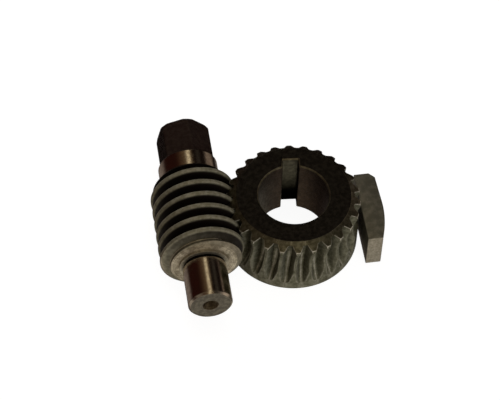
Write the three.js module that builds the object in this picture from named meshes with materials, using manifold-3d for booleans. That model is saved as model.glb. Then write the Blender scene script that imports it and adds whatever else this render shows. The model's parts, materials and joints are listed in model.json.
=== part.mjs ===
// A single-start worm, the throated worm wheel it drives, and the loose key of the set.
// Millimetres, +Z up, everything standing on z = 0. The worm's axis runs along Y and the wheel's along Z.
// The two gears stand in mesh, and their teeth are worked out from the same thread form.
import * as THREE from "three";
import { mergeVertices } from "three/addons/utils/BufferGeometryUtils.js";
import Module from "manifold-3d";

// ---- driving dimensions ----
const WHEEL_TEETH = 26;
const AXIAL_PITCH = 5.7;
const CENTRE_DISTANCE = 37.8;
const PRESSURE_ANGLE = THREE.MathUtils.degToRad(20);
const THREAD_THICKNESS = 3.2; // along the axis, at the worm's pitch radius
const FLANK_CLEARANCE = 0.16; // left on each side of a thread in the wheel's gaps
const ROOT_CLEARANCE = 0.45; // how much further the wheel's gaps go than the thread does
const THROAT_CLEARANCE = 0.25; // between the wheel's crests and the worm's root

const WORM_TIP_RADIUS = 16.5;
const WORM_ROOT_RADIUS = 12.75;
const THREAD_START = 1.83; // middle of a crest on top of the worm, from the front edge of the thread body
const THREAD_BODY_LENGTH = 31.65; // between the two end cones
const FRONT_CONE_LENGTH = 2.7;
const REAR_CONE_LENGTH = 4.25;
const SHOULDER_RADIUS = 13;
const COLLAR_RADIUS = 9.7;
const COLLAR_LENGTH = 1.2;
const FRONT_JOURNAL_RADIUS = 8.5;
const FRONT_JOURNAL_LENGTH = 18; // from the collar to the end face
const REAR_JOURNAL_RADIUS = 11.7;
const REAR_JOURNAL_LENGTH = 8.4;
const REAR_JOURNAL_CHAMFER = 0.7; // on its edge beside the hexagon
const HEX_ACROSS_FLATS = 19.05;
const HEX_BAR_RADIUS = 10.85; // of the round bar that the flats are milled on
const HEX_LENGTH = 16.2;
const HEX_TURN = THREE.MathUtils.degToRad(-17.4); // of one corner, from the side that faces the wheel
const END_CHAMFER = 0.8;
const CENTRE_HOLE_RADIUS = 3.1;
const PILOT_RADIUS = 1;
const PILOT_DEPTH = 6;
const WORM_START = -17.7; // front edge of the thread body, along Y from the wheel's axis

const WHEEL_WIDTH = 26.8;
const WHEEL_RADIUS = 26;
const WHEEL_FACE_RADIUS = 22.1; // where the large cone meets the upper face
const WHEEL_CONE_START = 24.1; // height at which the cone begins
const WHEEL_EDGE_CHAMFER = 0.5;
const BORE_RADIUS = 13.7;
const BORE_CHAMFER = 0.5;
const KEYWAY_WIDTH = 6.35;
const KEYWAY_RADIUS = 17; // from the axis to the keyway's floor
const KEYWAY_ANGLE = THREE.MathUtils.degToRad(85.2);

const KEY_LENGTH = 31.4;
const KEY_HEIGHT = 16.5;
const KEY_END_WIDTH = 5.9;
const KEY_BELLY = 2.8; // how far the outer side swells past the ends
const KEY_END_CHAMFER = 2.2;
const KEY_START = -17.6; // its near end, measured along Y from the wheel's axis
const KEY_GAP = 0.7; // between the key and the wheel's largest circle

// ---- sizes worked out from those ----
const TURN = 2 * Math.PI;
const TOOTH_ANGLE = TURN / WHEEL_TEETH;
const WHEEL_PITCH_RADIUS = (WHEEL_TEETH * AXIAL_PITCH) / TURN;
const WORM_PITCH_RADIUS = CENTRE_DISTANCE - WHEEL_PITCH_RADIUS;
const WORM_HEIGHT = WORM_TIP_RADIUS; // the worm lies on its crests
const THROAT_ARC = WORM_ROOT_RADIUS + THROAT_CLEARANCE;
const HOB_RADIUS = WORM_TIP_RADIUS + ROOT_CLEARANCE;
const HEX_CORNER_RADIUS = HEX_ACROSS_FLATS / 2 / Math.cos(Math.PI / 6);
const FRONT_LENGTH = FRONT_CONE_LENGTH + COLLAR_LENGTH + FRONT_JOURNAL_LENGTH;
const REAR_FACE = THREAD_BODY_LENGTH + REAR_CONE_LENGTH;
const HEX_START = REAR_FACE + REAR_JOURNAL_LENGTH;
const REAR_LENGTH = HEX_START + HEX_LENGTH;
const KEY_WIDTH = KEY_END_WIDTH + KEY_BELLY;

// The set is centred on the origin in plan.
const LEFT = -CENTRE_DISTANCE - WORM_TIP_RADIUS;
const RIGHT = WHEEL_RADIUS + KEY_GAP + KEY_WIDTH;
const WHEEL_X = -(LEFT + RIGHT) / 2;
const WHEEL_Y = -(WORM_START - FRONT_LENGTH + WORM_START + REAR_LENGTH) / 2;

const ROUND_SIDES = 48;
const TOOL_MARGIN = 1; // how far a cutting shape runs past what it cuts

const wasm = await Module();
wasm.setup();

function toSolid(geometry) {
  const bare = geometry.clone();
  bare.deleteAttribute("normal");
  bare.deleteAttribute("uv");
  const merged = mergeVertices(bare, 1e-4);
  const vertProperties = merged.getAttribute("position").array;
  const triVerts = new Uint32Array(merged.index.array);
  return new wasm.Manifold(new wasm.Mesh({ numProp: 3, vertProperties, triVerts }));
}

function toGeometry(solid) {
  const mesh = solid.getMesh();
  const geometry = new THREE.BufferGeometry();
  geometry.setAttribute("position", new THREE.BufferAttribute(mesh.vertProperties, 3));
  geometry.setIndex(new THREE.BufferAttribute(mesh.triVerts, 1));
  geometry.computeVertexNormals();
  return geometry;
}

// A closed sheet of rows by columns that wraps round in its columns, with a fan over each end row.
function closedGrid(rows, firstCap, lastCap) {
  const columns = rows[0].length;
  const points = [...rows.flat(), firstCap, lastCap];
  const first = points.length - 2;
  const last = points.length - 1;
  const index = [];
  for (let i = 0; i + 1 < rows.length; i++) {
    for (let j = 0; j < columns; j++) {
      const a = i * columns + j;
      const b = i * columns + ((j + 1) % columns);
      index.push(a, b, b + columns, a, b + columns, a + columns);
    }
  }
  const end = (rows.length - 1) * columns;
  for (let j = 0; j < columns; j++) {
    const k = (j + 1) % columns;
    index.push(first, k, j, last, end + j, end + k);
  }
  const geometry = new THREE.BufferGeometry().setFromPoints(points);
  geometry.setIndex(index);
  return geometry;
}

// ---- the thread form, shared by the worm and the wheel ----

function threadThickness(radius) {
  return THREAD_THICKNESS - 2 * (radius - WORM_PITCH_RADIUS) * Math.tan(PRESSURE_ANGLE);
}

// Distance from the middle of the nearest thread, for a place y along the worm and an angle from its top.
function fromThread(y, angle) {
  const steps = (y - THREAD_START) / AXIAL_PITCH - angle / TURN;
  return (steps - Math.round(steps)) * AXIAL_PITCH;
}

// ---- worm ----

function wormBlank() {
  const front = -FRONT_LENGTH;
  const profile = [
    [0, front + PILOT_DEPTH],
    [PILOT_RADIUS, front + PILOT_DEPTH],
    [PILOT_RADIUS, front + (CENTRE_HOLE_RADIUS - PILOT_RADIUS) * Math.sqrt(3)],
    [CENTRE_HOLE_RADIUS, front],
    [FRONT_JOURNAL_RADIUS - END_CHAMFER, front],
    [FRONT_JOURNAL_RADIUS, front + END_CHAMFER],
    [FRONT_JOURNAL_RADIUS, -FRONT_CONE_LENGTH - COLLAR_LENGTH],
    [COLLAR_RADIUS, -FRONT_CONE_LENGTH - COLLAR_LENGTH],
    [COLLAR_RADIUS, -FRONT_CONE_LENGTH],
    [SHOULDER_RADIUS, -FRONT_CONE_LENGTH],
    [WORM_TIP_RADIUS, 0],
    [WORM_TIP_RADIUS, THREAD_BODY_LENGTH],
    [SHOULDER_RADIUS, REAR_FACE],
    [REAR_JOURNAL_RADIUS, REAR_FACE],
    [REAR_JOURNAL_RADIUS, HEX_START - REAR_JOURNAL_CHAMFER],
    [REAR_JOURNAL_RADIUS - REAR_JOURNAL_CHAMFER, HEX_START],
    [HEX_BAR_RADIUS, HEX_START],
    [HEX_BAR_RADIUS, REAR_LENGTH - END_CHAMFER],
    [HEX_BAR_RADIUS - END_CHAMFER, REAR_LENGTH],
    [0, REAR_LENGTH],
  ];
  const points = profile.map(([r, y]) => new THREE.Vector2(r, y));
  return toSolid(new THREE.LatheGeometry(points, ROUND_SIDES));
}

// The groove between the threads, as a sweep of its section in the plane of the axis.
function threadGroove() {
  const outer = WORM_TIP_RADIUS + TOOL_MARGIN;
  const stepsPerTurn = ROUND_SIDES / 2;
  const firstTurn = Math.floor((-FRONT_CONE_LENGTH - AXIAL_PITCH) / AXIAL_PITCH);
  const lastTurn = Math.ceil((REAR_FACE + AXIAL_PITCH) / AXIAL_PITCH);
  const rings = [];
  for (let i = firstTurn * stepsPerTurn; i <= lastTurn * stepsPerTurn; i++) {
    const angle = (i / stepsPerTurn) * TURN;
    const y = THREAD_START + (angle / TURN + 0.5) * AXIAL_PITCH;
    const corner = (radius, side) => {
      const half = (AXIAL_PITCH - threadThickness(radius)) / 2;
      return new THREE.Vector3(radius * Math.sin(angle), y + side * half, radius * Math.cos(angle));
    };
    rings.push([
      corner(WORM_ROOT_RADIUS, -1),
      corner(WORM_ROOT_RADIUS, 1),
      corner(outer, 1),
      corner(outer, -1),
    ]);
  }
  const middle = (ring) => ring.reduce((sum, p) => sum.add(p), new THREE.Vector3()).divideScalar(ring.length);
  return toSolid(closedGrid(rings, middle(rings[0]), middle(rings.at(-1))));
}

// A sleeve with a hexagonal hole, which leaves the hexagon on the rear end.
function hexSleeve() {
  const ring = new THREE.Shape().absarc(0, 0, WORM_TIP_RADIUS, 0, TURN);
  const corners = Array.from({ length: 6 }, (_, i) => {
    const angle = (i / 6) * TURN + HEX_TURN;
    const out = new THREE.Vector2(Math.cos(angle), Math.sin(angle));
    return out.multiplyScalar(HEX_CORNER_RADIUS);
  });
  ring.holes.push(new THREE.Path(corners));
  const sleeve = new THREE.ExtrudeGeometry(ring, { depth: HEX_LENGTH + TOOL_MARGIN, bevelEnabled: false });
  sleeve.rotateX(-Math.PI / 2);
  sleeve.translate(0, HEX_START, 0);
  return toSolid(sleeve);
}

function makeWorm() {
  const worm = wormBlank().subtract(threadGroove()).subtract(hexSleeve());
  return toGeometry(worm);
}

// ---- wheel ----

// Radius of the turned blank, with the throat cut to follow the worm.
function blankRadius(z) {
  const fromMiddle = z - WORM_HEIGHT;
  const throat =
    Math.abs(fromMiddle) < THROAT_ARC
      ? CENTRE_DISTANCE - Math.sqrt(THROAT_ARC ** 2 - fromMiddle ** 2)
      : WHEEL_RADIUS;
  const slope = (WHEEL_RADIUS - WHEEL_FACE_RADIUS) / (WHEEL_WIDTH - WHEEL_CONE_START);
  const cone = WHEEL_FACE_RADIUS + (WHEEL_WIDTH - z) * slope;
  const foot = WHEEL_RADIUS - WHEEL_EDGE_CHAMFER + z;
  return Math.min(throat, WHEEL_RADIUS, cone, foot);
}

// Whether the hob passes through a point of the wheel (radius, angle, height) once the wheel has turned by
// roll. The hob is the worm's thread, a little larger all round.
function inHob(radius, angle, z, roll) {
  const x = radius * Math.cos(angle + roll) + CENTRE_DISTANCE;
  const y = radius * Math.sin(angle + roll) - WORM_START + WHEEL_PITCH_RADIUS * roll;
  const up = z - WORM_HEIGHT;
  const out = Math.hypot(x, up);
  if (out > HOB_RADIUS) return false;
  return Math.abs(fromThread(y, Math.atan2(x, up))) < threadThickness(out) / 2 + FLANK_CLEARANCE;
}

// Radius of the finished wheel: the hob takes away whatever it reaches at any roll.
function cutRadius(angle, z) {
  const rollSteps = 96;
  const reach = 3 * TOOTH_ANGLE;
  const isCut = (radius) => {
    for (let k = 0; k <= rollSteps; k++) {
      const roll = Math.PI - angle + reach * (k / rollSteps - 0.5);
      if (inHob(radius, angle, z, roll)) return true;
    }
    return false;
  };
  let high = blankRadius(z);
  let low = CENTRE_DISTANCE - HOB_RADIUS - 0.1;
  if (!isCut(high)) return high;
  for (let i = 0; i < 14; i++) {
    const radius = (low + high) / 2;
    if (isCut(radius)) high = radius;
    else low = radius;
  }
  return high;
}

// Angle of the middle of the gap nearest the worm, at a height on the wheel.
function gapAngle(z) {
  const toWorm = CENTRE_DISTANCE - blankRadius(z);
  const y = WORM_START + THREAD_START + (AXIAL_PITCH * Math.atan2(toWorm, z - WORM_HEIGHT)) / TURN;
  return Math.PI - y / WHEEL_PITCH_RADIUS;
}

// How far to one side of a gap's middle its surface has climbed to a radius, as an angle.
function reachTo(level, middle, z, side) {
  let low = 0;
  let high = TOOTH_ANGLE / 2;
  for (let i = 0; i < 12; i++) {
    const reach = (low + high) / 2;
    if (cutRadius(middle + side * reach, z) > level) high = reach;
    else low = reach;
  }
  return high;
}

// Angles at which a row crosses one gap: its lips, its flanks and the corners of its floor.
function gapCrossings(z) {
  const middle = gapAngle(z);
  const floor = cutRadius(middle, z);
  const lip = blankRadius(z) - 0.001;
  const closed = TOOTH_ANGLE / 50;
  const across = [-1, 1].map((side) => {
    if (floor > lip) return [1, 2 / 3, 1 / 3].map((share) => middle + side * closed * share);
    const edge = reachTo(lip, middle, z, side);
    const corner = reachTo(floor + 0.1 * (lip - floor), middle, z, side);
    return [edge, (edge + corner) / 2, corner].map((reach) => middle + side * reach);
  });
  return [...across[0], ...across[1].reverse()];
}

// Heights of the wheel's rows: the blank's own edges, closer together where the gaps run out.
function wheelHeights() {
  const rows = [0, WHEEL_EDGE_CHAMFER, 4.3, 5, 6.5, 8.6, 11, 13.8, 16.5, 19.2, 22];
  return [...rows, WHEEL_CONE_START, 25, 25.5, 25.8, WHEEL_WIDTH];
}

function wheelRow(z) {
  const angles = gapCrossings(z);
  const firstLip = angles[0];
  const lastLip = angles.at(-1);
  angles.push((lastLip + firstLip + TOOTH_ANGLE) / 2);
  const radii = angles.map((angle) => cutRadius(angle, z));
  const row = [];
  for (let tooth = 0; tooth < WHEEL_TEETH; tooth++) {
    angles.forEach((angle, i) => {
      const turned = angle + tooth * TOOTH_ANGLE;
      row.push(new THREE.Vector3(radii[i] * Math.cos(turned), radii[i] * Math.sin(turned), z));
    });
  }
  return row;
}

function boreTool() {
  const wide = BORE_RADIUS + BORE_CHAMFER + TOOL_MARGIN;
  const profile = [
    [0, -TOOL_MARGIN],
    [wide, -TOOL_MARGIN],
    [BORE_RADIUS, BORE_CHAMFER],
    [BORE_RADIUS, WHEEL_WIDTH - BORE_CHAMFER],
    [wide, WHEEL_WIDTH + TOOL_MARGIN],
    [0, WHEEL_WIDTH + TOOL_MARGIN],
  ];
  const points = profile.map(([r, y]) => new THREE.Vector2(r, y));
  const tool = new THREE.LatheGeometry(points, ROUND_SIDES);
  tool.rotateX(Math.PI / 2);
  return toSolid(tool);
}

function keywayTool() {
  const tool = new THREE.BoxGeometry(KEYWAY_RADIUS, KEYWAY_WIDTH, WHEEL_WIDTH + 2 * TOOL_MARGIN);
  tool.translate(KEYWAY_RADIUS / 2, 0, WHEEL_WIDTH / 2);
  tool.rotateZ(KEYWAY_ANGLE);
  return toSolid(tool);
}

function makeWheel() {
  const rows = wheelHeights().map(wheelRow);
  const top = new THREE.Vector3(0, 0, WHEEL_WIDTH);
  const toothed = toSolid(closedGrid(rows, new THREE.Vector3(), top));
  return toGeometry(toothed.subtract(boreTool()).subtract(keywayTool()));
}

// ---- key ----

// Seen from above: a straight side towards the wheel, two square ends and a swollen outer side.
function makeKey() {
  const outline = new THREE.Shape();
  outline.moveTo(0, 0);
  outline.lineTo(KEY_END_WIDTH, 0);
  const swell = new THREE.Vector2(KEY_WIDTH, KEY_LENGTH / 2);
  outline.quadraticCurveTo(KEY_WIDTH, KEY_LENGTH / 4, swell.x, swell.y);
  outline.lineTo(KEY_END_WIDTH + KEY_END_CHAMFER, KEY_LENGTH - KEY_END_CHAMFER);
  outline.lineTo(KEY_END_WIDTH, KEY_LENGTH);
  outline.lineTo(0, KEY_LENGTH);
  outline.closePath();
  const options = { depth: KEY_HEIGHT, bevelEnabled: false, curveSegments: 6 };
  return new THREE.ExtrudeGeometry(outline, options);
}

// ---- assembly ----

function steel(color, roughness) {
  return new THREE.MeshStandardMaterial({ color, roughness, metalness: 0.9 });
}

function named(name, geometry, material) {
  const mesh = new THREE.Mesh(geometry, material);
  mesh.name = name;
  return mesh;
}

const worm = named("worm_shaft", makeWorm(), steel(0x8a8378, 0.35));
worm.position.set(-CENTRE_DISTANCE, WORM_START, WORM_HEIGHT);

const wheel = named("worm_wheel", makeWheel(), steel(0x3b342d, 0.55));

const key = named("key", makeKey(), steel(0x6d695c, 0.5));
key.position.set(WHEEL_RADIUS + KEY_GAP, KEY_START, 0);

const gearSet = new THREE.Group();
gearSet.position.set(WHEEL_X, WHEEL_Y, 0);
gearSet.add(worm, wheel, key);

export default gearSet;
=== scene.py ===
"""A worm gear set: a steel worm, the throated wheel it drives and a loose key.

The CAD frame gives every place. The three pieces are built again here as fine meshes, in millimetres
round their own axes, and each one rides on the CAD body whose node it replaces.
"""

import json
import math

import bmesh
import bpy
import numpy as np
from mathutils import Matrix, Vector


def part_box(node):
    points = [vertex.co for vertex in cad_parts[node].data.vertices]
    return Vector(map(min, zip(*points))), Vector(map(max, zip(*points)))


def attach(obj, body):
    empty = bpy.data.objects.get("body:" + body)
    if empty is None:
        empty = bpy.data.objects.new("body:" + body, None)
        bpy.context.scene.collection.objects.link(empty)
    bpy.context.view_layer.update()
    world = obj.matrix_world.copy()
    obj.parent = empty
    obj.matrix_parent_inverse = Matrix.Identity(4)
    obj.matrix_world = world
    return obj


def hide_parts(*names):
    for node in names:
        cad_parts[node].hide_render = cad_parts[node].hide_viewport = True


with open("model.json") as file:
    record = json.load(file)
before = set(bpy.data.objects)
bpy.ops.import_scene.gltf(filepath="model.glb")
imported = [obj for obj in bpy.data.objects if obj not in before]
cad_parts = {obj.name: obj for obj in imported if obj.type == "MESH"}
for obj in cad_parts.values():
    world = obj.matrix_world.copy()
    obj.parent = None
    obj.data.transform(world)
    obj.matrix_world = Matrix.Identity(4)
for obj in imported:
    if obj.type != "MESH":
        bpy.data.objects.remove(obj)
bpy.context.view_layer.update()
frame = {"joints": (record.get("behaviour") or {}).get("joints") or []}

# ---- driving sizes of the set, millimetres, the same as the CAD model's ----
MM = 0.001
WHEEL_TEETH = 26
AXIAL_PITCH = 5.7
PRESSURE_ANGLE = math.radians(20)
THREAD_THICKNESS = 3.2
FLANK_CLEARANCE = 0.16
ROOT_CLEARANCE = 0.45
THROAT_CLEARANCE = 0.25

WORM_ROOT_RADIUS = 12.75
THREAD_START = 1.83
THREAD_BODY_LENGTH = 31.65
FRONT_CONE_LENGTH = 2.7
REAR_CONE_LENGTH = 4.25
SHOULDER_RADIUS = 13
COLLAR_RADIUS = 9.7
COLLAR_LENGTH = 1.2
FRONT_JOURNAL_RADIUS = 8.5
FRONT_JOURNAL_LENGTH = 18
REAR_JOURNAL_RADIUS = 11.7
REAR_JOURNAL_LENGTH = 8.4
REAR_JOURNAL_CHAMFER = 0.7
HEX_ACROSS_FLATS = 19.05
HEX_BAR_RADIUS = 10.85
HEX_LENGTH = 16.2
HEX_TURN = math.radians(-17.4)
END_CHAMFER = 0.8
CENTRE_HOLE_RADIUS = 3.1
PILOT_RADIUS = 1
PILOT_DEPTH = 6

WHEEL_WIDTH = 26.8
WHEEL_RADIUS = 26
WHEEL_FACE_RADIUS = 22.1
WHEEL_CONE_START = 24.1
WHEEL_EDGE_CHAMFER = 0.5
BORE_RADIUS = 13.7
BORE_CHAMFER = 0.5
KEYWAY_WIDTH = 6.35
KEYWAY_RADIUS = 17
KEYWAY_ANGLE = math.radians(85.2)

KEY_LENGTH = 31.4
KEY_HEIGHT = 16.5
KEY_END_WIDTH = 5.9
KEY_BELLY = 2.8
KEY_END_CHAMFER = 2.2

# ---- sizes that only show close up, millimetres ----
EDGE_BREAK = 0.14  # the small rounding on the worm's turned edges
CREST_ROUNDING = 0.5  # on the crests of its thread
ROOT_FILLET = 0.4  # in the bottom corners of the thread's groove
UNDERCUT_WIDTH = 1.3  # the relief where the front journal meets its collar
UNDERCUT_DEPTH = 0.6
SLEEVE_GAP = 0.02  # between the rear journal and the cut that leaves the hexagon
LIP_BREAK = 0.11  # on the edges of the wheel's teeth
HOLE_EDGE = 0.08  # on the edges of the bore's chamfers
KEYWAY_EDGE = 0.25  # in the keyway's corners
KEY_EDGE = 0.22  # on the loose key's corners

# ---- how bright the wheel's teeth are marked, from 0 to 1: partly real wear, partly painted light and highlights ----
FLOOR_SHEEN_AND_WEAR = 0.45  # along the middle of each gap, where the thread's crests rub, with a painted sheen on the gap's floor
DRIVE_SIDE_LIGHT_AND_WEAR = 0.1  # on the side of each tooth that the worm pushes on, with painted light on that lit wall as well
LIP_HIGHLIGHT_AND_WEAR = 0.7  # on the teeth's edges where the upper cone cuts them, a painted edge highlight as well as wear
LOW_LIP_HIGHLIGHT_AND_WEAR = 0.07  # on the same edges below the cone
BESIDE_LIP_HIGHLIGHT_AND_WEAR = 0.2  # on the crests just beside those edges
CONE_EDGE_HIGHLIGHT_AND_WEAR = 0.8  # where the crests turn into the upper cone, painted highlight and wear
SHEEN_AND_WEAR_TOP = 20  # the height above the wheel's foot where the sheen and wear in the gaps end, millimetres
SHEEN_AND_WEAR_FADE = 4  # and how far below that height it has its full strength

# ---- sizes worked out from those and from the frame ----
TURN = 2 * math.pi
TOOTH_ANGLE = TURN / WHEEL_TEETH
joint_at = {joint["name"]: Vector(joint["pos_m"]) for joint in frame["joints"]}
worm_low, wheel_low, key_low = (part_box(node)[0] for node in ("worm_shaft", "worm_wheel", "key"))
WHEEL_AT = Vector((joint_at["wheel_spin"].x, joint_at["wheel_spin"].y, wheel_low.z))
FRONT_LENGTH = FRONT_CONE_LENGTH + COLLAR_LENGTH + FRONT_JOURNAL_LENGTH
WORM_AT = Vector((joint_at["worm_spin"].x, worm_low.y + FRONT_LENGTH * MM, joint_at["worm_spin"].z))
CENTRE_DISTANCE = (WHEEL_AT.x - WORM_AT.x) / MM
WORM_START = (WORM_AT.y - WHEEL_AT.y) / MM
WORM_HEIGHT = (WORM_AT.z - WHEEL_AT.z) / MM
WORM_TIP_RADIUS = WORM_HEIGHT
WHEEL_PITCH_RADIUS = WHEEL_TEETH * AXIAL_PITCH / TURN
WORM_PITCH_RADIUS = CENTRE_DISTANCE - WHEEL_PITCH_RADIUS
THROAT_ARC = WORM_ROOT_RADIUS + THROAT_CLEARANCE
HOB_RADIUS = WORM_TIP_RADIUS + ROOT_CLEARANCE
REAR_FACE = THREAD_BODY_LENGTH + REAR_CONE_LENGTH
HEX_START = REAR_FACE + REAR_JOURNAL_LENGTH
REAR_LENGTH = HEX_START + HEX_LENGTH

# ---- how fine the meshes are ----
ROUND_SIDES = 192  # round the worm, and in each turn of its thread
ROLL_STEPS = 361  # places of the wheel that its cutter is tried at
HALVINGS = 15  # steps that close in on the radius where the cutter's cut ends
EDGE_HALVINGS = 12  # steps that close in on the angle of a gap's edge
ROUND_SHARES = (0, 0.2, 0.4, 0.6, 0.8, 1)  # places of the points along a rounded corner
CORNER_SHARE = 0.3  # the most of a side that a rounded corner takes
SUPPORT_SHARE = 0.25  # how far beside a rounded corner its support point is, in sizes of the corner
FIRST_ROW = 0.05  # height of the wheel's lowest row above its foot, millimetres
LAST_ROW = 0.15  # and how far its highest row is below its top
RUN_OUT_ROWS = (0.02, 0.1, 0.22, 0.4, 0.65, 1, 1.5, 2.1, 2.8, 3.6, 4.6, 5.6)  # heights above a gap's end
THROAT_ROWS = 16
CONE_ROWS = 16
HOLE_ROWS = 12
FACE_SHARES = (0.015, 0.04, 0.3, 0.7)  # places of the rows on the wheel's flat faces
SKIN = 0.002  # how deep a cut in the wheel's blank counts as one, millimetres
FLOOR_SHARE = 0.08  # the share of a gap's depth that belongs to its floor
KEY_STEPS = 25  # points along the key's swelling
KEYWAY_STEPS = (1, 6, 1)  # points on the mouth's corner, the side and the floor's corner of the keyway
WELD = 0.002  # points nearer than this are one point, millimetres
SMOOTH_ANGLE = math.radians(24)  # sharper edges than this show as edges
BEVEL_ANGLE = math.radians(12)  # flatter edges than this are left as they are
ALONG_Y, ALONG_Z = 1, 2  # the axes of the worm and of the wheel


# ---- mesh helpers ----


def make_object(name, points, faces):
    """A piece made of points in millimetres round its own origin."""
    mesh = bpy.data.meshes.new(name)
    mesh.from_pydata((np.asarray(points, float) * MM).tolist(), [], faces)
    solid = bmesh.new()
    solid.from_mesh(mesh)
    bmesh.ops.recalc_face_normals(solid, faces=solid.faces)
    solid.to_mesh(mesh)
    solid.free()
    piece = bpy.data.objects.new(name, mesh)
    bpy.context.scene.collection.objects.link(piece)
    return piece


def grid_faces(rows, columns, closed_rows=False):
    """Quads of a grid that wraps round in its columns, and in its rows too if closed_rows."""
    faces = []
    for i in range(rows if closed_rows else rows - 1):
        for j in range(columns):
            a = i * columns + j
            b = i * columns + (j + 1) % columns
            up = columns if i + 1 < rows else columns - rows * columns
            faces.append((a, b, b + up, a + up))
    return faces


def capped_grid(name, rows, first, last):
    """A closed skin over rows of points, with a fan from one point over each end."""
    columns = len(rows[0])
    points = np.vstack([*rows, first, last])
    faces = grid_faces(len(rows), columns)
    end = (len(rows) - 1) * columns
    for j in range(columns):
        k = (j + 1) % columns
        faces.append((len(points) - 2, k, j))
        faces.append((len(points) - 1, end + j, end + k))
    return make_object(name, points, faces)


def corner_curve(before, corner, after, shares=ROUND_SHARES):
    """Points on the curve that rounds a corner off, at some shares of the way."""
    a, b, c = (np.array(p) for p in (before, corner, after))
    return [(1 - t) ** 2 * a + 2 * t * (1 - t) * b + t ** 2 * c for t in shares]


def soften(profile, size):
    """A profile with each corner rounded, and a support point beside each rounding to keep flats flat."""
    corners = [np.array(p, float) for p in profile]
    out = [corners[0]]
    for before, corner, after in zip(corners, corners[1:], corners[2:]):
        back = before - corner
        ahead = after - corner
        reach = min(size, CORNER_SHARE * np.linalg.norm(back), CORNER_SHARE * np.linalg.norm(ahead))
        start = corner + back / np.linalg.norm(back) * reach
        end = corner + ahead / np.linalg.norm(ahead) * reach
        out.append(start + (start - corner) * SUPPORT_SHARE)
        out += corner_curve(start, corner, end)
        out.append(end + (end - corner) * SUPPORT_SHARE)
    out.append(corners[-1])
    return out


def revolve(name, profile):
    """A turned shape about Y. The profile is (radius, y) pairs, and its two ends lie on the axis."""
    angles = np.arange(ROUND_SIDES) * TURN / ROUND_SIDES
    rows = []
    for radius, y in profile[1:-1]:
        rows.append(np.c_[radius * np.sin(angles), np.full(ROUND_SIDES, y), radius * np.cos(angles)])
    ends = [np.array([0, profile[i][1], 0]) for i in (0, -1)]
    return capped_grid(name, rows, ends[0], ends[1])


def apply_modifiers(piece):
    """Makes what the piece's modifiers do part of its mesh."""
    graph = bpy.context.evaluated_depsgraph_get()
    result = bpy.data.meshes.new_from_object(piece.evaluated_get(graph))
    piece.modifiers.clear()
    piece.data = result


def cut(piece, tool):
    """Takes the tool's shape away from the piece, for good."""
    change = piece.modifiers.new("cut", "BOOLEAN")
    change.operation = "DIFFERENCE"
    change.solver = "MANIFOLD"
    change.object = tool
    apply_modifiers(piece)
    bpy.data.objects.remove(tool)


def round_edges(piece, width):
    """Rounds off the piece's sharp edges, for good."""
    bevel = piece.modifiers.new("edges", "BEVEL")
    bevel.width = width * MM
    bevel.segments = 3
    bevel.limit_method = "ANGLE"
    bevel.angle_limit = BEVEL_ANGLE
    apply_modifiers(piece)


def weld(piece):
    """Joins points that cutting leaves almost on top of each other, and drops slivers between them."""
    solid = bmesh.new()
    solid.from_mesh(piece.data)
    bmesh.ops.remove_doubles(solid, verts=solid.verts, dist=WELD * MM)
    bmesh.ops.dissolve_degenerate(solid, edges=solid.edges, dist=WELD * MM)
    solid.to_mesh(piece.data)
    solid.free()


def smooth(piece):
    """Shades the piece as round, with its sharp edges kept."""
    piece.data.shade_smooth()
    piece.data.set_sharp_from_angle(angle=SMOOTH_ANGLE)


def paint(piece, materials, choose):
    """Gives each face the material that choose picks, by number, from the faces' centres and normals."""
    piece.data.materials.clear()
    for material in materials:
        piece.data.materials.append(material)
    count = len(piece.data.polygons)
    centres = np.zeros(count * 3)
    normals = np.zeros(count * 3)
    piece.data.polygons.foreach_get("center", centres)
    piece.data.polygons.foreach_get("normal", normals)
    picked = choose(centres.reshape(-1, 3) / MM, normals.reshape(-1, 3))
    piece.data.polygons.foreach_set("material_index", picked.astype(np.int32))
    piece.data.update()


def finish_piece(piece, place, body, node):
    """Puts a piece where its CAD node is and ties it to the node's body."""
    piece.location = place
    smooth(piece)
    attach(piece, body)
    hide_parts(node)


# ---- the thread form, shared by the worm and the wheel ----


def thread_thickness(radius):
    """How thick the thread is along the worm's axis, at some distance from that axis."""
    return THREAD_THICKNESS - 2 * (radius - WORM_PITCH_RADIUS) * math.tan(PRESSURE_ANGLE)


# ---- worm ----


def worm_profile():
    """The turned worm's outline, as (radius, y) pairs from its centre hole to its rear end."""
    front = -FRONT_LENGTH
    cone_end = front + (CENTRE_HOLE_RADIUS - PILOT_RADIUS) * math.sqrt(3)
    collar = -FRONT_CONE_LENGTH - COLLAR_LENGTH
    return [
        (0, front + PILOT_DEPTH),
        (PILOT_RADIUS, front + PILOT_DEPTH),
        (PILOT_RADIUS, cone_end),
        (CENTRE_HOLE_RADIUS, front),
        (FRONT_JOURNAL_RADIUS - END_CHAMFER, front),
        (FRONT_JOURNAL_RADIUS, front + END_CHAMFER),
        (FRONT_JOURNAL_RADIUS, collar - UNDERCUT_WIDTH),
        (FRONT_JOURNAL_RADIUS - UNDERCUT_DEPTH, collar - UNDERCUT_WIDTH + UNDERCUT_DEPTH / 3),
        (FRONT_JOURNAL_RADIUS - UNDERCUT_DEPTH, collar),
        (COLLAR_RADIUS, collar),
        (COLLAR_RADIUS, -FRONT_CONE_LENGTH),
        (SHOULDER_RADIUS, -FRONT_CONE_LENGTH),
        (WORM_TIP_RADIUS, 0),
        (WORM_TIP_RADIUS, THREAD_BODY_LENGTH),
        (SHOULDER_RADIUS, REAR_FACE),
        (REAR_JOURNAL_RADIUS, REAR_FACE),
        (REAR_JOURNAL_RADIUS, HEX_START - REAR_JOURNAL_CHAMFER),
        (REAR_JOURNAL_RADIUS - REAR_JOURNAL_CHAMFER, HEX_START),
        (HEX_BAR_RADIUS, HEX_START),
        (HEX_BAR_RADIUS, REAR_LENGTH - END_CHAMFER),
        (HEX_BAR_RADIUS - END_CHAMFER, REAR_LENGTH),
        (0, REAR_LENGTH),
    ]


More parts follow.
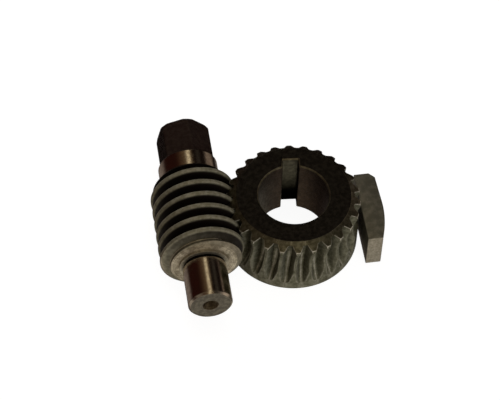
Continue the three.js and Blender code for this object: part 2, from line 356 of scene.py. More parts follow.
def groove_section():
    """The gap between two threads, as (radius, y) points round it: rounded roots, flanks, flared lips."""

    def flank(radius):
        return (AXIAL_PITCH - thread_thickness(radius)) / 2

    root = WORM_ROOT_RADIUS
    tip = WORM_TIP_RADIUS
    half = corner_curve(
        (root, flank(root) - ROOT_FILLET),
        (root, flank(root)),
        (root + ROOT_FILLET, flank(root + ROOT_FILLET)),
        (0, 0.25, 0.5, 0.75, 1),
    )
    low = root + 1.3 * ROOT_FILLET
    high = tip - 1.25 * CREST_ROUNDING
    half += [np.array((radius, flank(radius))) for radius in (low, high)]
    half += corner_curve(
        (tip - CREST_ROUNDING, flank(tip - CREST_ROUNDING)),
        (tip, flank(tip)),
        (tip + 0.01, flank(tip) + CREST_ROUNDING),
    )
    half.append(np.array((tip + CREST_ROUNDING, flank(tip) + 1.3 * CREST_ROUNDING)))
    mirrored = [point * (1, -1) for point in reversed(half)]
    return np.array(half + mirrored)


def thread_groove():
    """The groove's section swept along its helix, in step with the blank's sides."""
    out, beside = groove_section().T
    first = math.floor(-FRONT_CONE_LENGTH / AXIAL_PITCH) - 1
    last = math.ceil(REAR_FACE / AXIAL_PITCH) + 1
    rows = []
    for i in range(first * ROUND_SIDES, last * ROUND_SIDES + 1):
        angle = i * TURN / ROUND_SIDES
        y = THREAD_START + (angle / TURN + 0.5) * AXIAL_PITCH
        rows.append(np.c_[out * math.sin(angle), y + beside, out * math.cos(angle)])
    return capped_grid("groove", rows, rows[0].mean(0), rows[-1].mean(0))


def hex_sleeve():
    """A round sleeve with a hexagonal hole, which leaves the hexagon on the worm's rear end."""
    front = HEX_START + SLEEVE_GAP
    rear = REAR_LENGTH + 1
    inner = HEX_ACROSS_FLATS / 2 / math.cos(math.pi / 6)
    outer = 2 * inner
    angles = [i * TURN / 6 + HEX_TURN for i in range(6)]
    rings = []
    for radius, y in ((inner, front), (inner, rear), (outer, rear), (outer, front)):
        rings.append([(radius * math.cos(a), y, -radius * math.sin(a)) for a in angles])
    return make_object("sleeve", np.vstack(rings), grid_faces(len(rings), len(angles), closed_rows=True))


THREAD, TURNED, GROUND, HEX, END, HOLE, CONE, RELIEF = range(8)
NEAR = 0.1  # how far from an edge one finish gives way to the next, millimetres


def worm_finish(centre, normal):
    """Which finish each face of the worm has, from where it is along the worm and how far out."""
    y = centre[:, 1]
    out = np.hypot(centre[:, 0], centre[:, 2])
    along = normal[:, 1]
    picked = np.full(len(y), THREAD)
    front = y < -FRONT_CONE_LENGTH + NEAR / 5
    picked[front & (out > FRONT_JOURNAL_RADIUS - UNDERCUT_DEPTH / 2)] = CONE
    picked[front & (out > COLLAR_RADIUS + NEAR)] = TURNED
    collar_end = -FRONT_CONE_LENGTH - COLLAR_LENGTH
    picked[(y < collar_end - NEAR) & (out <= FRONT_JOURNAL_RADIUS + NEAR)] = GROUND
    in_relief = (y > collar_end - UNDERCUT_WIDTH + NEAR / 2) & (y < collar_end + NEAR / 2)
    picked[in_relief & (out < FRONT_JOURNAL_RADIUS - 1.5 * NEAR)] = RELIEF
    picked[(y < -FRONT_LENGTH + 3 * NEAR) & (along < -0.9)] = END
    picked[(y < -FRONT_LENGTH + PILOT_DEPTH + NEAR) & (out < CENTRE_HOLE_RADIUS)] = HOLE
    sloping = (along < -0.4) & (along > -0.85)
    picked[sloping & ~front & (y < NEAR)] = CONE
    picked[(y > REAR_FACE + NEAR / 2) & (out > REAR_JOURNAL_RADIUS - 2 * NEAR)] = GROUND
    picked[y > HEX_START - NEAR] = HEX
    return picked


def make_worm(finishes):
    """The worm: a turned blank with the thread's groove and the hexagon's flats cut into it."""
    worm = revolve("worm", soften(worm_profile(), EDGE_BREAK))
    cut(worm, thread_groove())
    cut(worm, hex_sleeve())
    weld(worm)
    paint(worm, finishes, worm_finish)
    finish_piece(worm, WORM_AT, "worm", "worm_shaft")


# ---- wheel ----


def blank_radius(z):
    """Radius of the wheel's turned blank at some heights, with its throat cut."""
    up = z - WORM_HEIGHT
    arc = CENTRE_DISTANCE - np.sqrt(np.maximum(THROAT_ARC ** 2 - up ** 2, 0))
    throat = np.where(abs(up) < THROAT_ARC, arc, WHEEL_RADIUS)
    slope = (WHEEL_RADIUS - WHEEL_FACE_RADIUS) / (WHEEL_WIDTH - WHEEL_CONE_START)
    cone = WHEEL_FACE_RADIUS + (WHEEL_WIDTH - z) * slope
    foot = WHEEL_RADIUS - WHEEL_EDGE_CHAMFER + z
    return np.minimum(np.minimum(throat, WHEEL_RADIUS), np.minimum(cone, foot))


def in_hob(radius, angle, z, roll):
    """Whether the hob passes through points of the wheel once it has turned by roll."""
    x = radius * np.cos(angle + roll) + CENTRE_DISTANCE
    y = radius * np.sin(angle + roll) - WORM_START + WHEEL_PITCH_RADIUS * roll
    up = z - WORM_HEIGHT
    out = np.hypot(x, up)
    steps = (y - THREAD_START) / AXIAL_PITCH - np.arctan2(x, up) / TURN
    from_thread = abs(steps - np.round(steps)) * AXIAL_PITCH
    return (out < HOB_RADIUS) & (from_thread < thread_thickness(out) / 2 + FLANK_CLEARANCE)


def cut_radius(angle, z):
    """Radius of the finished wheel at some angles and heights, after the hob has rolled past."""
    reach = 1.5 * TOOTH_ANGLE
    roll = math.pi - angle[:, None] + np.linspace(-reach, reach, ROLL_STEPS)[None, :]

    def is_cut(radius):
        return in_hob(radius[:, None], angle[:, None], z[:, None], roll).any(1)

    blank = blank_radius(z)
    high = blank.copy()
    low = np.full_like(high, CENTRE_DISTANCE - HOB_RADIUS - 0.1)
    touched = is_cut(high)
    for _ in range(HALVINGS):
        middle = (low + high) / 2
        reached = is_cut(middle)
        high = np.where(reached, middle, high)
        low = np.where(reached, low, middle)
    return np.where(touched, high, blank)


def gap_angle(z):
    """Angle of the middle of the gap nearest the worm, at some heights."""
    to_worm = CENTRE_DISTANCE - blank_radius(z)
    y = WORM_START + THREAD_START + AXIAL_PITCH * np.arctan2(to_worm, z - WORM_HEIGHT) / TURN
    return math.pi - y / WHEEL_PITCH_RADIUS


def reach_to(level, middle, z, side):
    """How far to one side of a gap's middle its surface has climbed to a radius, as an angle."""
    low = np.zeros_like(z)
    high = np.full_like(z, TOOTH_ANGLE / 2)
    for _ in range(EDGE_HALVINGS):
        reach = (low + high) / 2
        above = cut_radius(middle + side * reach, z) > level
        high = np.where(above, reach, high)
        low = np.where(above, low, reach)
    return high


def wheel_heights():
    """Rows up the wheel: pairs either side of each turned edge, closer where the gaps run out."""
    throat_half = math.sqrt(THROAT_ARC ** 2 - (CENTRE_DISTANCE - WHEEL_RADIUS) ** 2)
    throat_ends = (WORM_HEIGHT - throat_half, WORM_HEIGHT + throat_half)
    gap_half = math.sqrt(HOB_RADIUS ** 2 - (CENTRE_DISTANCE - WHEEL_RADIUS) ** 2)
    run_out = WORM_HEIGHT - gap_half
    rows = [FIRST_ROW]
    for edge in (WHEEL_EDGE_CHAMFER, *throat_ends, WHEEL_CONE_START):
        rows += [edge + steps * LIP_BREAK for steps in (-2, -1, 1, 2)]
    rows += [*np.linspace(1.2, run_out - 0.1, 4), *(run_out + np.array(RUN_OUT_ROWS))]
    rows += list(np.linspace(throat_ends[0] + 0.6, throat_ends[1] - 0.6, THROAT_ROWS))
    rows += list(np.linspace(throat_ends[1] + 0.6, WHEEL_CONE_START - 0.4, 3))
    rows += list(np.linspace(WHEEL_CONE_START + 0.4, WHEEL_WIDTH - LAST_ROW, CONE_ROWS))
    return np.array(sorted(rows))


def tooth_columns(z):
    """Angles of the columns across one gap, its two sides and edges, and one crest, at each height."""
    middle = gap_angle(z)
    floor = cut_radius(middle, z)
    blank = blank_radius(z)
    lip = blank - SKIN
    is_open = floor < lip - 2 * SKIN
    closed = TOOTH_ANGLE / 60
    sides = []
    for side in (-1, 1):
        edge = np.where(is_open, reach_to(lip, middle, z, side), closed)
        floor_top = floor + FLOOR_SHARE * (lip - floor)
        corner = np.where(is_open, reach_to(floor_top, middle, z, side), closed / 2)
        corner = np.minimum(corner, 0.8 * edge)
        step = np.minimum(LIP_BREAK / blank, 0.12 * edge)
        inner = edge - 2 * step
        reaches = [0.5 * corner, 0.85 * corner, corner]
        reaches += [corner + (inner - corner) * share for share in (0.2, 0.4, 0.6, 0.8, 1)]
        reaches += [edge - step, edge + step, edge + 2 * step]
        sides.append([middle + side * reach for reach in reaches])
    left = sides[0][::-1]
    right = sides[1]
    crest = right[-1]
    next_left = left[0] + TOOTH_ANGLE
    bridge = [crest + (next_left - crest) * share for share in (0.25, 0.5, 0.75)]
    return np.array([*left, middle, *right, *bridge])


def tooth_sheen_and_wear(z, on_crest):
    """The marks on tooth_columns' columns, partly wear and partly painted light: 8 up each side of the gap,
    3 at each edge, 3 on the crest.
    """
    fade = np.clip((SHEEN_AND_WEAR_TOP - z) / SHEEN_AND_WEAR_FADE, 0, 1)
    lip = LIP_HIGHLIGHT_AND_WEAR if z > WHEEL_CONE_START - 1 else LOW_LIP_HIGHLIGHT_AND_WEAR
    edge = [lip, lip, BESIDE_LIP_HIGHLIGHT_AND_WEAR * fade]
    driven_side = [*[0] * 6, *[DRIVE_SIDE_LIGHT_AND_WEAR * fade] * 2, *edge]
    other_side = [*[0] * 8, *edge]
    sheen_and_wear_marks = np.array([*driven_side[::-1], FLOOR_SHEEN_AND_WEAR * fade, *other_side, *[0] * 3])
    if abs(z - WHEEL_CONE_START) < 1.5 * LIP_BREAK:
        sheen_and_wear_marks[on_crest] = np.maximum(sheen_and_wear_marks[on_crest], CONE_EDGE_HIGHLIGHT_AND_WEAR)
    return sheen_and_wear_marks


def outer_rows(heights):
    """The wheel's outside, row by row from the bottom, and the marks of wear and painted light on each
    point.
    """
    columns = tooth_columns(heights)
    tall = np.broadcast_to(heights, columns.shape)
    radii = cut_radius(columns.ravel(), tall.ravel()).reshape(columns.shape)
    turns = np.arange(WHEEL_TEETH) * TOOTH_ANGLE
    rows = []
    sheen_and_wear_marks = []
    for z, column, radius in zip(heights, columns.T, radii.T):
        angles = (column[None, :] + turns[:, None]).ravel()
        out = np.tile(radius, WHEEL_TEETH)
        rows.append(np.c_[out * np.cos(angles), out * np.sin(angles), np.full(len(angles), z)])
        on_crest = radius > blank_radius(z) - 10 * SKIN
        sheen_and_wear_marks.append(np.tile(tooth_sheen_and_wear(z, on_crest), WHEEL_TEETH))
    return rows, sheen_and_wear_marks


def keyway_corners(bore, half, depth, mouth):
    """The keyway's corners from one side of its mouth to the other, pointing along x."""
    lip = bore * math.cos(mouth)
    side = [
        (lip, bore * math.sin(mouth)),
        (lip + KEYWAY_EDGE, half),
        (depth - KEYWAY_EDGE, half),
        (depth, half - KEYWAY_EDGE),
    ]
    return [(x, -y) for x, y in side] + side[::-1]


def hole_outline(count, first_angle, grow):
    """The bore and keyway from above, pushed outwards by grow, as count points from first_angle on."""
    bore = BORE_RADIUS + grow
    half = KEYWAY_WIDTH / 2 + grow
    mouth = math.asin((half + KEYWAY_EDGE) / bore)
    corners = keyway_corners(bore, half, KEYWAY_RADIUS + grow, mouth)
    in_slot = round(count * 2 * mouth / TURN)
    floor_steps = in_slot - 2 * sum(KEYWAY_STEPS)
    slot = []
    for start, end, steps in zip(corners, corners[1:], (*KEYWAY_STEPS, floor_steps, *KEYWAY_STEPS)):
        shares = np.arange(steps)[:, None] / steps
        slot.append(np.array(start) * (1 - shares) + np.array(end) * shares)
    rest = np.linspace(mouth, TURN - mouth, count - in_slot, endpoint=False)
    outline = np.vstack([*slot, np.c_[bore * np.cos(rest), bore * np.sin(rest)]])
    turn = complex(math.cos(KEYWAY_ANGLE), math.sin(KEYWAY_ANGLE))
    placed = (outline[:, 0] + 1j * outline[:, 1]) * turn
    first = int(np.argmin(abs(np.angle(placed * np.exp(-1j * first_angle)))))
    placed = np.roll(placed, -first)
    return np.c_[placed.real, placed.imag]


def inner_rows(count, first_angle):
    """The bore and keyway from the top down, with their chamfers, in rows of count points."""
    top = WHEEL_WIDTH
    chamfer = [
        (top, BORE_CHAMFER + HOLE_EDGE),
        (top, BORE_CHAMFER),
        (top - BORE_CHAMFER + HOLE_EDGE, HOLE_EDGE),
        (top - BORE_CHAMFER - HOLE_EDGE, 0),
        (top - BORE_CHAMFER - 3 * HOLE_EDGE, 0),
    ]
    levels = chamfer + [(z, 0) for z in np.linspace(top - 2, 2, HOLE_ROWS)]
    levels += [(top - z, grow) for z, grow in reversed(chamfer)]
    rows = []
    for z, grow in levels:
        outline = hole_outline(count, first_angle, grow)
        rows.append(np.c_[outline, np.full(count, z)])
    return rows


def face_row(outer, inner, z, share):
    """A row on a flat face, some share of the way from its outer edge to the hole."""
    row = outer * (1 - share) + inner * share
    row[:, 2] = z
    return row


FLAT, SIDE, BORE, KEYWAY, EDGE, RIM = range(6)


def wheel_finish(centre, normal):
    """Which finish each face of the wheel has, from where it is and how far up or down it faces."""
    x, y, z = centre.T
    level = abs(normal[:, 2]) > 0.95
    upright = abs(normal[:, 2]) <= 0.3
    inside = np.hypot(x, y) < (WHEEL_FACE_RADIUS + KEYWAY_RADIUS) / 2
    along = x * math.cos(KEYWAY_ANGLE) + y * math.sin(KEYWAY_ANGLE)
    across = y * math.cos(KEYWAY_ANGLE) - x * math.sin(KEYWAY_ANGLE)
    in_slot = (along > BORE_RADIUS * 0.98) & (abs(across) < KEYWAY_WIDTH / 2 + NEAR / 2)
    picked = np.full(len(centre), SIDE)
    picked[(z > WHEEL_CONE_START + LIP_BREAK) & (normal[:, 2] > 0.5)] = RIM
    picked[inside & upright] = BORE
    picked[inside & in_slot & upright] = KEYWAY
    picked[inside & ~upright] = EDGE
    picked[level] = FLAT
    return picked


def make_wheel(finishes):
    """The wheel as one closed grid: up the outside, over the top face, down the hole and back below."""
    heights = wheel_heights()
    rows, sheen_and_wear_marks = outer_rows(heights)
    count = len(rows[0])
    first_angle = math.atan2(rows[-1][0, 1], rows[-1][0, 0])
    hole = inner_rows(count, first_angle)
    top = [face_row(rows[-1], hole[0], WHEEL_WIDTH, share) for share in FACE_SHARES]
    bottom = [face_row(rows[0], hole[-1], 0, share) for share in reversed(FACE_SHARES)]
    rows += [*top, *hole, *bottom]
    points = np.vstack(rows)
    wheel = make_object("wheel", points, grid_faces(len(rows), count, closed_rows=True))
    # marks for the tooth and cone finishes: partly real wear, partly painted light and highlights
    sheen_and_wear = np.zeros(len(points), np.float32)
    sheen_and_wear[: len(sheen_and_wear_marks) * count] = np.concatenate(sheen_and_wear_marks)
    wheel.data.attributes.new("sheen_and_wear", "FLOAT", "POINT").data.foreach_set("value", sheen_and_wear)
    paint(wheel, finishes, wheel_finish)
    finish_piece(wheel, WHEEL_AT, "wheel", "worm_wheel")


# ---- key ----


def key_outline():
    """Seen from above: a straight side towards the wheel, square ends and a swollen outer side."""
    wide = KEY_END_WIDTH + KEY_BELLY
    middle = (wide, KEY_LENGTH / 2)
    swell = corner_curve((KEY_END_WIDTH, 0), (wide, KEY_LENGTH / 4), middle, np.linspace(0, 1, KEY_STEPS))
    points = [(0, 0), *[tuple(p) for p in swell]]
    points.append((KEY_END_WIDTH + KEY_END_CHAMFER, KEY_LENGTH - KEY_END_CHAMFER))
    points += [(KEY_END_WIDTH, KEY_LENGTH), (0, KEY_LENGTH)]
    return points


def key_finish(centre, normal):
    """The second finish on the end towards -y, and the first one everywhere else."""
    return (normal[:, 1] < -0.8).astype(int)


def make_key(finishes):
    """The loose key: its outline raised straight up, with rounded edges."""
    outline = key_outline()
    count = len(outline)
    points = [(x, y, z) for z in (0, KEY_HEIGHT) for x, y in outline]
    faces = [tuple(range(count)), tuple(range(count, 2 * count))]
    faces += [(i, (i + 1) % count, count + (i + 1) % count, count + i) for i in range(count)]
    key = make_object("loose_key", points, faces)
    round_edges(key, KEY_EDGE)
    paint(key, finishes, key_finish)
    finish_piece(key, key_low, "key", "key")


# ---- materials ----

GRAIN_SCALE = 9.0  # how fine the tool's lines are, in lines per millimetre or so
# painted shade: the colour that darkens the thread's flanks and roots
THREAD_SHADE_COLOUR = (0.012, 0.008, 0.006)
SHADE_DEPTH = 1.1  # how far below the thread's crests the painted shade is full, millimetres
# bright metal for the wheel's marks: worn metal and painted highlight
SHEEN_AND_WEAR_METAL = (0.8, 0.76, 0.66)
# painted shade at the bottom of the keyway
KEYWAY_SHADE_COLOUR = (0.001, 0.001, 0.001)
KEYWAY_SHADE_FULL, KEYWAY_SHADE_ENDS = 5.0, 21.0  # heights in the keyway where the painted shade is full and where it ends, millimetres


def link_or_set(tree, socket, value):
    """Links the socket to another one, or sets it to a plain value."""
    if isinstance(value, bpy.types.NodeSocket):
        tree.links.new(value, socket)
    else:
        socket.default_value = value


def add(tree, kind, inputs=(), **settings):
    """A node with its settings and its inputs, each input a socket to link or a value to set."""
    node = tree.nodes.new("ShaderNode" + kind)
    for name, value in settings.items():
        setattr(node, name, value)
    for place, value in dict(inputs).items():
        link_or_set(tree, node.inputs[place], value)
    return node


def math_node(tree, operation, *values):
    return add(tree, "Math", enumerate(values), operation=operation).outputs[0]


def between(tree, value, low, high, start=0.0, end=1.0):
    """Goes smoothly from start to end as value goes from low to high."""
    inputs = {"Value": value, "From Min": low, "From Max": high, "To Min": start, "To Max": end}
    node = add(tree, "MapRange", inputs, interpolation_type="SMOOTHSTEP")
    return node.outputs["Result"]


def mix(tree, share, a, b):
    """A colour some share of the way from a to b. The node's colours are inputs 6 and 7 and output 2."""
    return add(tree, "Mix", {"Factor": share, 6: a, 7: b}, data_type="RGBA").outputs[2]


def noise(tree, vector, scale, detail=3.0, rough=0.55):
    inputs = {"Vector": vector, "Scale": scale, "Detail": detail, "Roughness": rough}
    return add(tree, "TexNoise", inputs).outputs["Fac"]


def rgb(red, green, blue):
    return (red, green, blue, 1.0)


def places(tree, axis):
    """Coordinates in millimetres: the point, its radius, its place along the axis, and a turned grain."""
    origin = add(tree, "TexCoord").outputs["Object"]
    point = add(tree, "VectorMath", {0: origin, "Scale": 1 / MM}, operation="SCALE").outputs[0]
    parts = add(tree, "SeparateXYZ", {0: point}).outputs
    along = parts[axis]
    keep = [1.0, 1.0, 1.0]
    keep[axis] = 0.0
    flat = add(tree, "VectorMath", {0: point, 1: tuple(keep)}, operation="MULTIPLY").outputs[0]
    radius = add(tree, "VectorMath", {0: flat}, operation="LENGTH").outputs["Value"]
    facing = add(tree, "VectorMath", {0: flat}, operation="NORMALIZE").outputs[0]
    ring = add(tree, "CombineXYZ", {0: radius, 1: along, 2: 0.0}).outputs[0]
    fine = add(tree, "VectorMath", {0: ring, "Scale": GRAIN_SCALE}, operation="SCALE").outputs[0]
    grain = add(tree, "VectorMath", {0: fine, 1: facing}, operation="ADD").outputs[0]
    return point, radius, along, grain


def worked_surface(tree, point, lines, mottle, grain):
    """How light the metal is, from 0 to 1, and the height of its relief: slow mottling and tool lines."""
    wander = between(tree, noise(tree, point, mottle, detail=5.0, rough=0.6), 0.35, 0.68)
    tool = between(tree, noise(tree, lines, 1.0, detail=4.0, rough=0.7), 0.3, 0.7)
    from_tool = math_node(tree, "MULTIPLY", math_node(tree, "SUBTRACT", tool, 0.5), grain)
    lightness = add(tree, "Clamp", {"Value": math_node(tree, "ADD", wander, from_tool)}).outputs[0]
    height = math_node(tree, "ADD", tool, math_node(tree, "MULTIPLY", wander, 0.6))
    return lightness, height


def with_specks(tree, point, colour, dark):
    """The colour with fine specks of a darker tone in it."""
    speck = between(tree, noise(tree, point, 4.5, detail=2.0, rough=0.7), 0.62, 0.75)
    return mix(tree, math_node(tree, "MULTIPLY", speck, 0.3), colour, rgb(*[0.4 * v for v in dark]))


def steel(
    name,
    axis,
    dark,
    light,
    rough,
    metal=1.0,
    grain=0.35,
    mottle=0.6,
    bump=0.02,
    level=0.5,
    stretch=0.0,
    shade=None,
):
    """Worked steel: colour that wanders between two tones, lines left by the tool, and fine specks.

    grain is the strength of the tool's lines, mottle the scale of the wandering, and bump the relief's
    depth in millimetres. level is how much the surface mirrors beyond its metal's own colour, and stretch
    draws highlights out across the tool's lines. shade, if given, makes the final colour.
    """
    material = bpy.data.materials.new(name)
    material.use_nodes = True
    tree = material.node_tree
    point, radius, along, lines = places(tree, axis)
    lightness, height = worked_surface(tree, point, lines, mottle, grain)
    colour = with_specks(tree, point, mix(tree, lightness, rgb(*dark), rgb(*light)), dark)
    if shade:
        colour = shade(tree, point, radius, along, colour)
    relief = {"Height": height, "Strength": 1.0, "Distance": bump * MM}
    inputs = {
        "Base Color": colour,
        "Metallic": metal,
        "Specular IOR Level": level,
        "Specular Tint": rgb(*[min(2 * level, 1.0)] * 3),
        "Roughness": between(tree, lightness, 0.0, 1.0, rough + 0.07, rough - 0.04),
        "Anisotropic": stretch,
        "Anisotropic Rotation": 0.25,
        "Tangent": add(tree, "Tangent", direction_type="RADIAL", axis="XYZ"[axis]).outputs[0],
        "Normal": add(tree, "Bump", relief).outputs[0],
    }
    shader = tree.nodes["Principled BSDF"]
    for socket, value in inputs.items():
        link_or_set(tree, shader.inputs[socket], value)
    return material


def thread_shade(tree, point, radius, along, colour):
    """Bright crests over flanks and roots darkened with painted shade, by the depth below the turned blank.
    """
    cone = (WORM_TIP_RADIUS - SHOULDER_RADIUS) / FRONT_CONE_LENGTH
    front = math_node(tree, "MULTIPLY_ADD", along, cone, WORM_TIP_RADIUS)
    blank = math_node(tree, "MINIMUM", front, WORM_TIP_RADIUS)
    depth = math_node(tree, "SUBTRACT", blank, radius)
    # painted shade, fuller the deeper the surface lies below the blank
    painted_shade = between(tree, depth, 0.0, SHADE_DEPTH)
    past_cone = between(tree, along, -2.5, 1.8, start=0.25, end=1.0)
    return mix(tree, math_node(tree, "MULTIPLY", painted_shade, past_cone), colour, rgb(*THREAD_SHADE_COLOUR))


def sheen_and_wear_shade(tree, point, radius, along, colour):
    """Bright metal, in patches, wherever the wheel's mesh is marked: partly real wear, partly painted sheen
    and highlights.
    """
    sheen_and_wear = add(tree, "Attribute", attribute_name="sheen_and_wear").outputs["Fac"]
    patches = between(tree, noise(tree, point, 0.5), 0.35, 0.6, start=0.4, end=1.0)
    return mix(tree, math_node(tree, "MULTIPLY", sheen_and_wear, patches), colour, rgb(*SHEEN_AND_WEAR_METAL))


def sunk_shade(tree, point, radius, along, colour):
    """Painted shade that darkens the keyway towards its lower end."""
    return mix(tree, between(tree, along, KEYWAY_SHADE_FULL, KEYWAY_SHADE_ENDS), rgb(*KEYWAY_SHADE_COLOUR), colour)


def worm_finishes():
    """The worm's finishes, in the order that THREAD, TURNED and the rest number them."""
    thread = dict(dark=(0.245, 0.231, 0.166), light=(0.375, 0.354, 0.268), metal=0.6, shade=thread_shade)
    turned = dict(dark=(0.41, 0.354, 0.262), light=(0.82, 0.75, 0.61), metal=0.9, grain=1.2)
    ground = dict(dark=(0.42, 0.36, 0.3), light=(0.55, 0.49, 0.41), grain=0.3, bump=0.003)
    black = dict(dark=(0.062, 0.043, 0.041), light=(0.092, 0.07, 0.063), metal=0.9, level=0.1)
    sawn = dict(dark=(0.155, 0.141, 0.118), light=(0.245, 0.227, 0.182), grain=0.6, bump=0.04)
    drilled = dict(dark=(0.12, 0.09, 0.06), light=(0.3, 0.25, 0.17), grain=1.0, bump=0.06)
    cone = dict(dark=(0.37, 0.335, 0.262), light=(0.56, 0.51, 0.408), metal=0.92, grain=0.6, bump=0.03)
    # near black: painted shade in the undercut where the front journal meets its collar
    relief = dict(dark=(0.008, 0.006, 0.005), light=(0.02, 0.015, 0.012), metal=0.9, level=0.1)
    return [
        steel("thread_steel", ALONG_Y, rough=0.5, **thread),
        steel("turned_steel", ALONG_Y, rough=0.5, bump=0.05, stretch=0.95, **turned),
        steel("ground_steel", ALONG_Y, rough=0.14, **ground),
        steel("black_steel", ALONG_Y, rough=0.36, **black),
        steel("sawn_steel", ALONG_Y, rough=0.45, **sawn),
        steel("drilled_steel", ALONG_Y, rough=0.35, **drilled),
        steel("cone_steel", ALONG_Y, rough=0.38, **cone),
        steel("relief_painted_shade", ALONG_Y, rough=0.5, **relief),
    ]


def wheel_finishes():
    """The wheel's finishes, in the order that FLAT, SIDE and the rest number them."""
    face = dict(dark=(0.013, 0.0105, 0.008), light=(0.029, 0.0245, 0.019), metal=0.7, grain=0.5)
    tooth = dict(dark=(0.108, 0.105, 0.069), light=(0.206, 0.202, 0.148), metal=0.5, shade=sheen_and_wear_shade)
    bore = dict(dark=(0.038, 0.024, 0.014), light=(0.062, 0.039, 0.023), metal=0.9, grain=0.6, bump=0.03)
    keyway = dict(dark=(0.086, 0.082, 0.062), light=(0.134, 0.127, 0.097), metal=0.98, shade=sunk_shade)
    edge = dict(dark=(0.16, 0.14, 0.09), light=(0.3, 0.27, 0.19), metal=0.9, grain=0.4)
    cone = dict(dark=(0.118, 0.112, 0.078), light=(0.235, 0.226, 0.172), shade=sheen_and_wear_shade)
    return [
        steel("face_oxide", ALONG_Z, rough=0.55, level=0.25, **face),
        steel("tooth_oxide", ALONG_Z, rough=0.4, level=0.2, **tooth),
        steel("bore_steel", ALONG_Z, rough=0.36, **bore),
        steel("keyway_steel", ALONG_Z, rough=0.4, level=0.1, grain=0.1, bump=0.008, **keyway),
        steel("edge_steel", ALONG_Z, rough=0.4, **edge),
        steel("cone_oxide", ALONG_Z, rough=0.33, **cone),
    ]


def key_finishes():
    """The key's two finishes: its sides, and the end towards -y."""
    side = dict(dark=(0.17, 0.165, 0.135), light=(0.25, 0.242, 0.2), mottle=0.35, grain=0.25)
    end = dict(dark=(0.3, 0.275, 0.22), light=(0.46, 0.42, 0.345), mottle=0.9, grain=0.4)
    return [
        steel("key_steel", ALONG_Z, rough=0.46, metal=0.8, **side),
        steel("key_end_steel", ALONG_Z, rough=0.45, metal=0.8, **end),
    ]


# ---- studio, in metres ----

STAGE_REACH = 3.2
FLOOR_DROP = 0.0001  # keeps the floor just under the set
SOFTBOX_SIZE = 0.5
SOFTBOXES = {  # where each one is, and its power in watts
    "front_softbox": ((0.42, -0.78, 0.28), 3.8),
    "top_softbox": ((0.1, 0.1, 0.8), 0.8),
    "back_softbox": ((-0.25, 0.8, 0.3), 4.0),
}

# What the steel mirrors, by direction: x to the right, y to the back and z up, each from -1 to 1. A card
# has a colour and its bands. A band has an axis, the places where it begins and where it is full, and how
# strong it is at those two places unless that is 0 and 1. "bench" is z tipped to one side, and "horizon" is
# the distance from a level just below the horizon.
ROOM_COLOUR = (0.01, 0.006, 0.005)
BENCH_TIP = 0.25
HORIZON_DROP = 0.04
STRIP_ENDS = [("z", 0.1, 0.35), ("y", 0.8, 0.65)]
BENCH_TOP = ("bench", -0.3, -0.62)
FAR_BENCH = [("x", 0.2, 0.4), ("y", -0.02, 0.15), ("y", 0.6, 0.35), ("z", -0.45, -0.65)]
CARDS = {
    "warm left side": ((0.014, 0.001, 0.0), [("x", -0.05, -0.4)]),
    "strip light": ((0.75, 0.69, 0.5), [("x", -0.12, 0.05), ("x", 0.19, 0.1), *STRIP_ENDS]),
    "glow beside it": ((0.14, 0.095, 0.05), [("x", -0.6, 0.05), ("x", 0.32, 0.15), *STRIP_ENDS]),
    "bench": ((0.4, 0.38, 0.33), [BENCH_TOP, ("y", 0.1, -0.5, 0.12, 1.0)]),
    "bench behind": ((0.16, 0.14, 0.125), [BENCH_TOP, ("y", 0.3, 0.5), ("z", -0.84, -0.74)]),
    "bench on the right": ((0.4, 0.375, 0.3), FAR_BENCH),
    "upper right": ((0.05, 0.047, 0.038), [("x", 0.4, 0.6), ("z", 0.5, 0.62)]),
    "left card": ((0.07, 0.066, 0.046), [("x", -0.35, -0.6), ("y", 0.4, 0.2), ("z", -0.1, 0.2)]),
    "upper front": ((0.1, 0.093, 0.065), [("y", -0.1, -0.4), ("z", 0.6, 0.75)]),
    "back card": ((0.16, 0.15, 0.13), [("y", 0.82, 0.94), ("z", 0.12, 0.3)]),
    "front card": ((0.3, 0.28, 0.24), [("y", 0.05, -0.75), ("z", 0.5, 0.1), ("x", -0.85, -0.45)]),
    "right card": ((0.24, 0.19, 0.15), [("x", 0.66, 0.8), ("horizon", 0.36, 0.16)]),
}

# Where the camera stands from the foot of the wheel's axis, its turns in degrees, and its lens in mm.
CAMERA_OFFSET = Vector((-0.10016, -0.44834, 0.64582))
CAMERA_PAN = -10.499
CAMERA_TILT = 53.65
CAMERA_ROLL = 2.23
CAMERA_LENS = 144.0
CAMERA_SENSOR = 36.0


def lit(name, grey, glow):
    """A pale surface that gives off its own light."""
    material = bpy.data.materials.new(name)
    material.use_nodes = True
    tree = material.node_tree
    shader = tree.nodes["Principled BSDF"]
    shader.inputs["Base Color"].default_value = rgb(grey, grey, grey)
    shader.inputs["Roughness"].default_value = 0.9
    shader.inputs["Emission Color"].default_value = rgb(glow, glow, glow)
    shader.inputs["Emission Strength"].default_value = 1.0
    return material


def seen_only(piece):
    """The camera sees the piece, but the steel neither mirrors it nor is lit by it."""
    piece.visible_glossy = False
    piece.visible_diffuse = False


def make_stage():
    """A pale floor, and a pale dome round everything for low views."""
    corners = np.array([(-1, -1, 0), (1, -1, 0), (1, 1, 0), (-1, 1, 0)])
    floor = make_object("floor", corners * STAGE_REACH / MM, [(0, 1, 2, 3)])
    floor.location.z = -FLOOR_DROP
    floor.data.materials.append(lit("paper", grey=0.22, glow=0.925))
    bpy.ops.mesh.primitive_uv_sphere_add(segments=48, ring_count=24, radius=STAGE_REACH)
    dome = bpy.context.object
    dome.name = "backdrop"
    dome.data.materials.append(lit("backdrop_paper", grey=0.3, glow=0.93))
    dome.visible_shadow = False
    for piece in (floor, dome):
        seen_only(piece)


def card_mask(tree, axes, bands):
    """How strongly a card shows in each direction: its bands multiplied together."""
    first, *others = [between(tree, axes[axis], *limits) for axis, *limits in bands]
    for band in others:
        first = math_node(tree, "MULTIPLY", first, band)
    return first


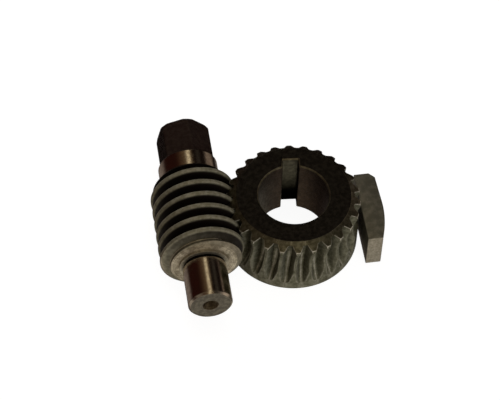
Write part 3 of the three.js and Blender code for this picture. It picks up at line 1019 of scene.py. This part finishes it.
def make_world():
    """What the steel mirrors: a dark warm room with all the cards added to it."""
    world = bpy.data.worlds.new("studio")
    bpy.context.scene.world = world
    world.use_nodes = True
    tree = world.node_tree
    facing = add(tree, "TexCoord").outputs["Generated"]
    axes = dict(zip("xyz", add(tree, "SeparateXYZ", {0: facing}).outputs))
    axes["bench"] = math_node(tree, "MULTIPLY_ADD", axes["x"], BENCH_TIP, axes["z"])
    axes["horizon"] = math_node(tree, "ABSOLUTE", math_node(tree, "ADD", axes["z"], HORIZON_DROP))
    total = ROOM_COLOUR
    for colour, bands in CARDS.values():
        shown = card_mask(tree, axes, bands)
        card = add(tree, "VectorMath", {0: colour, "Scale": shown}, operation="SCALE").outputs[0]
        total = add(tree, "VectorMath", {0: card, 1: total}, operation="ADD").outputs[0]
    link_or_set(tree, tree.nodes["Background"].inputs["Color"], total)


def make_light(name, place, power):
    """A broad soft light, turned to the set, that lights dull surfaces and isn't mirrored."""
    data = bpy.data.lights.new(name, "AREA")
    data.shape = "RECTANGLE"
    data.size = SOFTBOX_SIZE
    data.size_y = SOFTBOX_SIZE
    data.energy = power
    light = bpy.data.objects.new(name, data)
    bpy.context.scene.collection.objects.link(light)
    light.location = place
    light.rotation_euler = (-light.location).to_track_quat("-Z", "Y").to_euler()
    light.visible_glossy = False


def make_camera():
    data = bpy.data.cameras.new("camera")
    data.lens = CAMERA_LENS
    data.sensor_width = CAMERA_SENSOR
    camera = bpy.data.objects.new("camera", data)
    bpy.context.scene.collection.objects.link(camera)
    pan = Matrix.Rotation(math.radians(CAMERA_PAN), 4, "Z")
    tilt = Matrix.Rotation(math.radians(90 - CAMERA_TILT), 4, "X")
    roll = Matrix.Rotation(math.radians(CAMERA_ROLL), 4, "Z")
    camera.matrix_world = Matrix.Translation(WHEEL_AT + CAMERA_OFFSET) @ pan @ tilt @ roll
    bpy.context.scene.camera = camera


make_worm(worm_finishes())
make_wheel(wheel_finishes())
make_key(key_finishes())
make_stage()
make_world()
for softbox, (place, power) in SOFTBOXES.items():
    make_light(softbox, place, power)
make_camera()
bpy.context.scene.view_settings.view_transform = "Standard"
